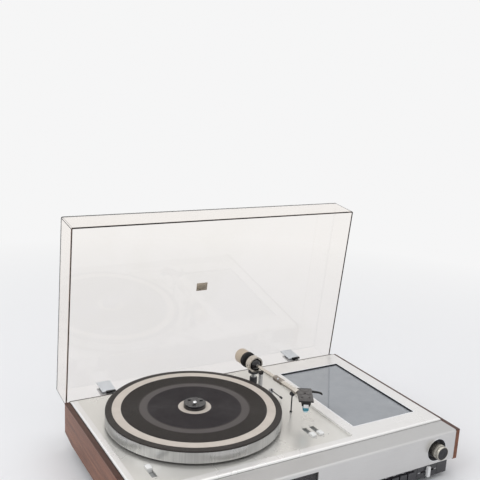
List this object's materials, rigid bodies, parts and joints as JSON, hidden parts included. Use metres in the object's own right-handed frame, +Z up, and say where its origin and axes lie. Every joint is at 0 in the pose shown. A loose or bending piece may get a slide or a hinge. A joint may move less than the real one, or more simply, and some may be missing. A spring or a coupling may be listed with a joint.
{
  "type": "record player with radio receiver",
  "caption": "Silver record player with a built-in receiver: aluminium deck, belt-driven platter, balanced tonearm, wooden cheeks, dial and knob in front, tinted acrylic lid standing open.",
  "frame": {"origin": "on the spindle axis at the top of the platter mat, where a record lies", "axes": "+X to the right seen from the front, +Y to the back, +Z up"},
  "size_m": [0.5888, 0.4577, 0.4137],
  "materials": {
    "satin_aluminium": "fine satin anodised",
    "walnut": "reddish walnut veneer, satin",
    "lid_acrylic": "clear acrylic with a faint warm tint",
    "black_plastic": "moulded, fine grain",
    "black_gloss": "smooth black",
    "pan_steel": "black paint, satin",
    "turned_aluminium": "turned and polished rim",
    "mat_rubber": "ribbed black rubber",
    "inlay_beige": "beige ring and disc let into the mat",
    "chrome_plate": "bright plate",
    "tube_aluminium": "satin, slightly warm",
    "ball_black": "polished dark ball",
    "head_grey": "dark grey satin",
    "stylus_teal": "teal stylus holder",
    "window_pane": "smoke-grey pane",
    "tray_grey": "pale grey tray with a dark wall",
    "dial_pane": "dark clear pane",
    "pointer_orange": "orange-red",
    "slider_silver": "pale silver",
    "hinge_steel": "pale satin",
    "socket_brass": "plain",
    "board_green": "board",
    "belt_rubber": "flat belt",
    "sub_platter_plastic": "pale"
  },
  "bodies": {
    "case": {"case_frame": "black_plastic", "base_pan": "pan_steel", "feet": "black_plastic", "left_cheek": "walnut", "right_cheek": "walnut", "fascia": "satin_aluminium", "dial_glass": "dial_pane", "dial_scale": "black_gloss", "knob_bezel": "black_plastic", "control_panel": "black_gloss", "rear_panel": "pan_steel", "phono_sockets": "socket_brass", "cord_gland": "black_plastic", "rear_screws": "hinge_steel", "transformer": "hinge_steel", "circuit_board": "board_green", "deck_plate": "satin_aluminium", "window_tray": "tray_grey", "window_glass": "window_pane", "switch_channels": "black_plastic", "bearing_housing": "hinge_steel", "motor": "hinge_steel", "drive_belt": "belt_rubber", "arm_base": "black_plastic", "arm_stem": "chrome_plate", "arm_rest": "black_plastic", "lever_bracket": "black_plastic", "hinge_brackets": "hinge_steel", "hinge_pins": "hinge_steel"},
    "platter": {"platter": "turned_aluminium", "platter_mat": "mat_rubber", "mat_inlays": "inlay_beige", "sub_platter": "sub_platter_plastic", "spindle": "chrome_plate"},
    "pulley": {"motor_pulley": "hinge_steel"},
    "adaptor": {"single_adaptor": "black_gloss"},
    "arm_yoke": {"yoke_collar": "black_plastic", "gimbal_ring": "tube_aluminium"},
    "arm": {"pivot_ball": "ball_black", "arm_tube": "tube_aluminium", "headshell": "head_grey", "cartridge": "head_grey", "stylus": "stylus_teal"},
    "weight": {"counterweight": "tube_aluminium", "weight_dial": "black_plastic"},
    "sleeve": {"lock_sleeve": "tube_aluminium"},
    "lever": {"cue_lever": "black_plastic"},
    "lift": {"lift_post": "black_plastic"},
    "speed": {"speed_switch": "tube_aluminium"},
    "start": {"start_switch": "tube_aluminium"},
    "lift_key": {"lift_switch": "tube_aluminium"},
    "tuning": {"tuning_knob": "turned_aluminium"},
    "pointer": {"dial_pointer": "pointer_orange"},
    "slider": {"panel_slider": "slider_silver"},
    "key_1": {"key_1": "black_gloss"},
    "key_2": {"key_2": "black_gloss"},
    "key_3": {"key_3": "black_gloss"},
    "key_4": {"key_4": "black_gloss"},
    "lid": {"dust_cover": "lid_acrylic", "hinge_clips": "hinge_steel"}
  },
  "joints": [
    {"name": "lid_hinge", "type": "hinge", "parent": "case", "child": "lid", "pos_m": [0.1144, 0.148, -0.0368], "axis": [1, 0, 0], "range_deg": [0, 83.5]},
    {"name": "platter_spin", "type": "hinge", "parent": "case", "child": "platter", "pos_m": [0, 0, 0], "axis": [0, 0, 1], "continuous": true},
    {"name": "pulley_spin", "type": "hinge", "parent": "case", "child": "pulley", "pos_m": [-0.09353, 0.054, -0.01], "axis": [0, 0, 1], "continuous": true},
    {"name": "adaptor_lift", "type": "slide", "parent": "platter", "child": "adaptor", "axis": [0, 0, 1], "range_m": [0, 0.02]},
    {"name": "arm_swing", "type": "hinge", "parent": "case", "child": "arm_yoke", "pos_m": [0.163, 0.081, 0.019], "axis": [0, 0, 1], "range_deg": [-44, 0]},
    {"name": "arm_raise", "type": "hinge", "parent": "arm_yoke", "child": "arm", "pos_m": [0.163, 0.081, 0.019], "axis": [0.9987, 0.0506, 0], "range_deg": [-20, 0]},
    {"name": "weight_turn", "type": "hinge", "parent": "arm", "child": "weight", "pos_m": [0.163, 0.081, 0.019], "axis": [0.0506, -0.9987, 0], "range_deg": [-180, 180]},
    {"name": "sleeve_turn", "type": "hinge", "parent": "arm", "child": "sleeve", "pos_m": [0.163, 0.081, 0.019], "axis": [0.0506, -0.9987, 0], "range_deg": [0, 60]},
    {"name": "cue_lever_tilt", "type": "hinge", "parent": "case", "child": "lever", "pos_m": [0.177, 0.038, -0.019], "axis": [1, 0, 0], "range_deg": [-30, 0]},
    {"name": "cue_lift_slide", "type": "slide", "parent": "case", "child": "lift", "axis": [0, 0, 1], "range_m": [-0.006, 0]},
    {"name": "speed_slide", "type": "slide", "parent": "case", "child": "speed", "axis": [0, 1, 0], "range_m": [-0.02, 0]},
    {"name": "start_slide", "type": "slide", "parent": "case", "child": "start", "axis": [0, 1, 0], "range_m": [0, 0.02]},
    {"name": "lift_key_slide", "type": "slide", "parent": "case", "child": "lift_key", "axis": [0, 1, 0], "range_m": [0, 0.02]},
    {"name": "tuning_turn", "type": "hinge", "parent": "case", "child": "tuning", "pos_m": [0.3578, -0.2202, -0.0542], "axis": [0, 1, 0], "range_deg": [-540, 540]},
    {"name": "pointer_slide", "type": "slide", "parent": "case", "child": "pointer", "axis": [1, 0, 0], "range_m": [-0.1, 0.1]},
    {"name": "panel_slide", "type": "slide", "parent": "case", "child": "slider", "axis": [1, 0, 0], "range_m": [-0.012, 0.012]},
    {"name": "key_1_press", "type": "slide", "parent": "case", "child": "key_1", "axis": [0, 1, 0], "range_m": [0, 0.003], "stiffness_N_per_m": 250},
    {"name": "key_2_press", "type": "slide", "parent": "case", "child": "key_2", "axis": [0, 1, 0], "range_m": [0, 0.003], "stiffness_N_per_m": 250},
    {"name": "key_3_press", "type": "slide", "parent": "case", "child": "key_3", "axis": [0, 1, 0], "range_m": [0, 0.003], "stiffness_N_per_m": 250},
    {"name": "key_4_press", "type": "slide", "parent": "case", "child": "key_4", "axis": [0, 1, 0], "range_m": [0, 0.003], "stiffness_N_per_m": 250}
  ],
  "couplings": [
    {"joint": "pulley_spin", "follows": "platter_spin", "ratio": 10},
    {"joint": "cue_lift_slide", "follows": "cue_lever_tilt", "m_per_rad": 0.01145},
    {"joint": "pointer_slide", "follows": "tuning_turn", "m_per_rad": 0.0106}
  ]
}
